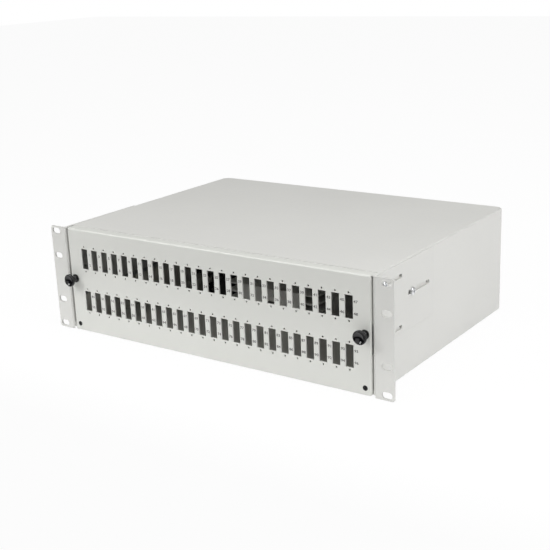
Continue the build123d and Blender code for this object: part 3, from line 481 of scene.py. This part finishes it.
ink = printed_ink("number_ink", INK_BLACK)
numbers = finish_piece("port_numbers", print_numbers(), ink, "drawer")
print("faces of ink", len(numbers.data.polygons))

# %% [markdown]
# Thread on the earthing stud
#
# The free end of the stud stands out behind the case, where its thread shows.
# A bump in its brass would stripe it but leave its outline smooth, so the thread
# is a ridge of its own. Spinning a small triangle round the axis while it moves
# along gives a helix, and the two open ends are capped, so the mesh is closed.

# %% Thread of the stud
THREAD_PITCH = 1.0 * MM
THREAD_HEIGHT = 0.2 * MM
THREAD_ROOT = 0.42 * THREAD_PITCH
THREAD_SINK = 0.1 * MM
THREAD_SIDES = 32
THREAD_END_GAP = 1.1 * MM


def stud_thread():
    """The ridge of the thread, from behind the nut to the stud's end."""
    stud_low, stud_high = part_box("earth_stud")
    centre = (stud_low + stud_high) / 2
    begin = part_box("earth_nut")[1].y + THREAD_END_GAP
    turns = int((stud_high.y - THREAD_ROOT - begin) / THREAD_PITCH)
    ridge = bmesh.new()
    corners = ((-THREAD_SINK, -THREAD_ROOT), (THREAD_HEIGHT, 0.0), (-THREAD_SINK, THREAD_ROOT))
    points = []
    for out, along in corners:
        points.append(ridge.verts.new((centre.x + stud_radius + out, begin + along, centre.z)))
    sides = [ridge.edges.new((points[i], points[i - 1])) for i in range(len(points))]
    bmesh.ops.spin(
        ridge,
        geom=points + sides,
        cent=(centre.x, 0, centre.z),
        axis=(0, 1, 0),
        dvec=(0, THREAD_PITCH / THREAD_SIDES, 0),
        angle=2 * math.pi * turns,
        steps=THREAD_SIDES * turns,
    )
    open_edges = [edge for edge in ridge.edges if edge.is_boundary]
    bmesh.ops.holes_fill(ridge, edges=open_edges, sides=len(points))
    bmesh.ops.recalc_face_normals(ridge, faces=ridge.faces)
    return ridge


thread = finish_piece("earth_stud_thread", stud_thread(), metals["stud_brass"], "enclosure")
print("thread faces", len(thread.data.polygons))

# %% [markdown]
# Bench
#
# The photograph has a plain white ground. The knobs mirror a white table that
# ends just in front of the object, and the front gets paler towards its foot,
# so both the light that the floor sends back and what gloss mirrors of it are
# bright only as far as that edge. To the camera the floor is white everywhere.
# It still takes a faint shadow, because a twentieth of what the camera sees
# there is the lit floor and only the rest is emission.

# %% Shader helpers for the studio
SURFACE_LIGHT = "ShaderNodeEmission"
SKY_LIGHT = "ShaderNodeBackground"
PURE_WHITE = (1.0, 1.0, 1.0, 1.0)


def white_light(tree, kind, strength):
    """Plain white light of a given strength, from a surface or the sky."""
    return add_node(tree, kind, values={"Color": PURE_WHITE, "Strength": strength}).outputs[0]


def mix_shaders(tree, share, first, second):
    """One shader giving way to another as the share goes from 0 to 1."""
    return add_node(tree, "ShaderNodeMixShader", {"Fac": share, 1: first, 2: second}).outputs["Shader"]


def seen_by_camera(tree, rays):
    """1 for what the camera sees, straight or through something clear."""
    looks = {0: rays.outputs["Is Camera Ray"], 1: rays.outputs["Is Transmission Ray"]}
    return add_node(tree, "ShaderNodeMath", looks, operation="MAXIMUM").outputs["Value"]


def ramp(tree, coordinates, axis, begin, end):
    """A value that climbs from 0 to 1 between two places along an axis."""
    place = add_node(tree, "ShaderNodeTexCoord")
    parts = add_node(tree, "ShaderNodeSeparateXYZ", {"Vector": place.outputs[coordinates]})
    return remap(tree, parts.outputs[axis], 0.0, 1.0, (begin, end))


# %% Floor
FLOOR_SIZE = 12.0
FLOOR_WHITE = 0.92
FLOOR_BEYOND = 0.40
FLOOR_ROUGHNESS = 0.9
FLOOR_GLOW = 0.95
TABLE_EDGE = -0.16
TABLE_FADE = 0.05
TABLE_LIGHT = 1.3
DARK_ROOM = 0.01


def floor_material():
    """A floor that is white to the camera and bright as far as the table's edge."""
    material = bpy.data.materials.new("studio_floor")
    tree = empty_tree(material)
    rays = add_node(tree, "ShaderNodeLightPath")
    on_table = ramp(tree, "Object", "Y", TABLE_EDGE - TABLE_FADE, TABLE_EDGE + TABLE_FADE)
    tint = blend_colours(tree, on_table, (FLOOR_BEYOND,) * 3, (FLOOR_WHITE,) * 3)
    dull = {"Roughness": FLOOR_ROUGHNESS, "Specular IOR Level": 0.0}
    lit = add_node(tree, "ShaderNodeBsdfPrincipled", {"Base Color": tint}, dull)
    seen = seen_by_camera(tree, rays)
    share = add_node(tree, "ShaderNodeMath", {0: seen}, {1: FLOOR_GLOW}, operation="MULTIPLY")
    white = white_light(tree, SURFACE_LIGHT, 1.0)
    plain_floor = mix_shaders(tree, share.outputs["Value"], lit.outputs["BSDF"], white)
    room = white_light(tree, SURFACE_LIGHT, DARK_ROOM)
    mirrored = mix_shaders(tree, on_table, room, white_light(tree, SURFACE_LIGHT, TABLE_LIGHT))
    both = mix_shaders(tree, rays.outputs["Is Glossy Ray"], plain_floor, mirrored)
    add_node(tree, "ShaderNodeOutputMaterial", {"Surface": both})
    return material


def studio_floor():
    """A square floor under the object, with its middle at the origin."""
    plane = bmesh.new()
    bmesh.ops.create_grid(plane, x_segments=1, y_segments=1, size=FLOOR_SIZE / 2)
    bmesh.ops.translate(plane, vec=(0, 0, bench_z), verts=plane.verts)
    mesh = mesh_from("studio_floor", plane)
    mesh.materials.append(floor_material())
    return add_object("studio_floor", mesh)


floor = studio_floor()
print("floor at", round(bench_z, 4))

# %% [markdown]
# Light
#
# The light is fairly even, with one stronger soft box at the front left: the
# round shadows under the latch knobs and the spot in each knob's dish show
# where it stood. A lamp at the right lights the side, a large one stands well
# in front, and one hangs above. The world is white to the camera, gives a weak
# even light, and in gloss is a dark room under a bright ceiling.

# %% World
WORLD_LIGHT = 0.22
CEILING_LIGHT = 0.8
CEILING_LOW = 0.45
CEILING_HIGH = 0.85


def white_world():
    """White to the camera, even light on the object, a ceiling in gloss."""
    world = bpy.data.worlds.new("studio_world")
    tree = empty_tree(world)
    rays = add_node(tree, "ShaderNodeLightPath")
    height = ramp(tree, "Generated", "Z", CEILING_LOW, CEILING_HIGH)
    room = white_light(tree, SKY_LIGHT, DARK_ROOM)
    mirrored = mix_shaders(tree, height, room, white_light(tree, SKY_LIGHT, CEILING_LIGHT))
    even = white_light(tree, SKY_LIGHT, WORLD_LIGHT)
    lit = mix_shaders(tree, rays.outputs["Is Glossy Ray"], even, mirrored)
    both = mix_shaders(tree, seen_by_camera(tree, rays), lit, white_light(tree, SKY_LIGHT, 1.0))
    add_node(tree, "ShaderNodeOutputWorld", {"Surface": both})
    return world


bpy.context.scene.world = white_world()
print("world", bpy.context.scene.world.name)

# %% Lamps
LAMPS = {
    "key_lamp": {"place": (-0.65, -0.79, 0.71), "size": 0.5, "watts": 5.7},
    "side_lamp": {"place": (1.2, -0.1, 0.85), "size": 0.9, "watts": 9.2},
    "front_lamp": {"place": (0.45, -2.6, 1.0), "size": 2.6, "watts": 19.5},
    "top_lamp": {"place": (0.1, 0.1, 2.4), "size": 2.0, "watts": 30.0},
}
LAMP_AIM = (0.0, 0.1, 0.0)


def soft_lamp(name, place, size, watts):
    """A square lamp that faces the object."""
    light = bpy.data.lights.new(name, "AREA")
    light.shape = "SQUARE"
    light.size = size
    light.energy = watts
    lamp = add_object(name, light)
    lamp.location = place
    lamp.rotation_euler = (Vector(LAMP_AIM) - Vector(place)).to_track_quat("-Z", "Y").to_euler()


for name, lamp in LAMPS.items():
    soft_lamp(name, **lamp)
print("lamps", len(LAMPS))

# %% [markdown]
# Camera
#
# The camera was found from the photograph by fitting the ears' edges and slots,
# whose real sizes the rack standard gives, and the even rows of windows. Its
# three angles turn it about the vertical, down, and about its own line of sight.

# %% Camera
FRAME_PIXELS = 550
FOCAL_PIXELS = 1039.861
SENSOR_MM = 36.0
CAMERA_PLACE = Vector((713.350, -863.385, 439.440)) * MM
CAMERA_TURN = math.radians(35.501)
CAMERA_DROP = math.radians(16.960)
CAMERA_ROLL = math.radians(-2.244)


def fitted_camera():
    """The camera of the photograph, in the model's frame."""
    data = bpy.data.cameras.new("photo_camera")
    data.sensor_width = SENSOR_MM
    data.lens = FOCAL_PIXELS * SENSOR_MM / FRAME_PIXELS
    level = Vector((math.cos(CAMERA_TURN), math.sin(CAMERA_TURN), 0))
    ahead = Vector((-math.sin(CAMERA_TURN), math.cos(CAMERA_TURN), 0)) * math.cos(CAMERA_DROP)
    ahead.z = -math.sin(CAMERA_DROP)
    above = level.cross(ahead)
    right = level * math.cos(CAMERA_ROLL) + above * math.sin(CAMERA_ROLL)
    up = right.cross(ahead)
    turn = Matrix((right, up, -ahead)).transposed().to_4x4()
    camera = add_object("photo_camera", data)
    camera.matrix_world = Matrix.Translation(CAMERA_PLACE + Vector((0, 0, bench_z))) @ turn
    return camera


camera = fitted_camera()
bpy.context.scene.camera = camera
bpy.context.scene.view_settings.view_transform = "Standard"
print("lens", round(camera.data.lens, 2), "mm")
